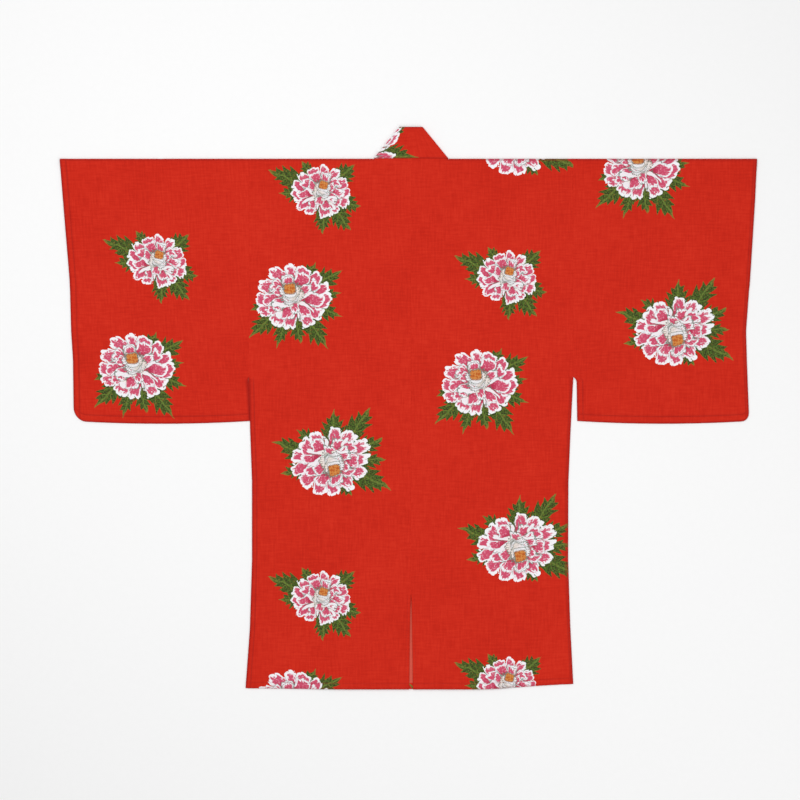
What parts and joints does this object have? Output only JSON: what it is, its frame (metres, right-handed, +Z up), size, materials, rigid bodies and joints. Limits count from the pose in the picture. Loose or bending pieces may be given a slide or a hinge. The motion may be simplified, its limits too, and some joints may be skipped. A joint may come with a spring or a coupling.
{
  "type": "kimono",
  "caption": "Short kimono with straight sleeves, narrow band collar and centre-back vent, laid flat with its back uppermost",
  "frame": {"origin": "below the middle of the laid-out garment, on the surface that it lies on", "axes": "+X to the wearer's right sleeve, +Y from the hem to the collar, +Z up out of the surface, through the front of the garment and out of its back"},
  "size_m": [1.2936, 1.0444, 0.0078],
  "materials": {
    "printed_cotton": "matte slubbed plain-weave cotton, red ground printed with pink and white peonies and green leaves"
  },
  "bodies": {
    "root": {"body_left": "printed_cotton", "body_right": "printed_cotton", "sleeve_left": "printed_cotton", "sleeve_right": "printed_cotton", "okumi_left": "printed_cotton", "okumi_right": "printed_cotton", "collar": "printed_cotton"}
  },
  "joints": []
}
